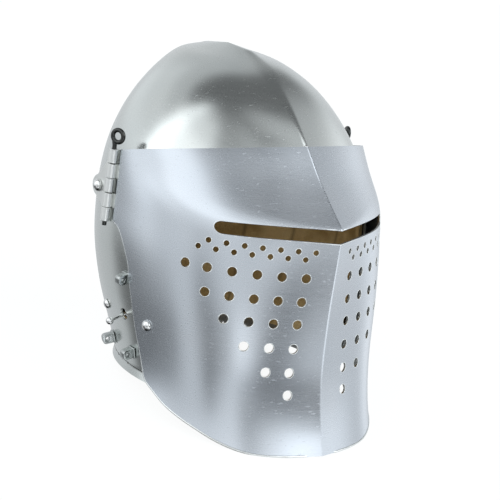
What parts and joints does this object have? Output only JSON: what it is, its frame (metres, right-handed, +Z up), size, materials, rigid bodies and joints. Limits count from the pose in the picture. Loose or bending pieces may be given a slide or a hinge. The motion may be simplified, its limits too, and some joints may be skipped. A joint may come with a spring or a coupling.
{
  "type": "bascinet helmet",
  "caption": "Steel bascinet with a ridged skull, a visor with sight and breaths that lifts on side pivots, removable hinge pins, a spring catch, vervelles and a fitted lining",
  "frame": {"origin": "centre of the footprint of the bounding box, on the surface that the helmet rests on, with the chin edge of the visor and the nape of the base rim touching it", "axes": "+Z up, -Y the way the face looks, -X the wearer's right and +X the wearer's left; the helmet's own upright leans back 6.8 degrees as it rests"},
  "size_m": [0.2288, 0.269, 0.2471],
  "materials": {
    "polished_steel": "satin polished",
    "brushed_steel": "fine brushed",
    "blackened_steel": "oil blackened, worn bright on the edges",
    "rivet_steel": "bright polished",
    "lining_leather": "matt, olive brown"
  },
  "bodies": {
    "helmet": {"skull": "polished_steel", "lining": "lining_leather", "pivot_bolt_right": "rivet_steel", "pivot_bolt_left": "rivet_steel", "catch_rivet": "rivet_steel", "vervelle_cheek_left": "rivet_steel", "vervelle_cheek_right": "rivet_steel", "vervelle_left_1": "rivet_steel", "vervelle_left_2": "rivet_steel", "vervelle_nape": "rivet_steel", "vervelle_right_1": "rivet_steel", "vervelle_right_2": "rivet_steel"},
    "visor": {"visor": "brushed_steel", "hinge_arm_right": "polished_steel", "hinge_arm_left": "polished_steel", "visor_stud": "rivet_steel"},
    "catch": {"catch": "rivet_steel"},
    "pin_right": {"pin_right": "blackened_steel"},
    "pin_left": {"pin_left": "blackened_steel"}
  },
  "joints": [
    {"name": "visor_lift", "type": "hinge", "parent": "helmet", "child": "visor", "pos_m": [0, 0.06206, 0.13671], "axis": [-1, 0, 0], "range_deg": [0, 75]},
    {"name": "catch_press", "type": "slide", "parent": "helmet", "child": "catch", "axis": [0.9345, 0.0424, 0.3535], "range_m": [0, 0.003], "stiffness_N_per_m": 1500, "springref_m": -0.001},
    {"name": "pin_right_pull", "type": "slide", "parent": "visor", "child": "pin_right", "axis": [0, 0.1192, 0.9929], "range_m": [0, 0.06]},
    {"name": "pin_left_pull", "type": "slide", "parent": "visor", "child": "pin_left", "axis": [0, 0.1192, 0.9929], "range_m": [0, 0.06]}
  ]
}
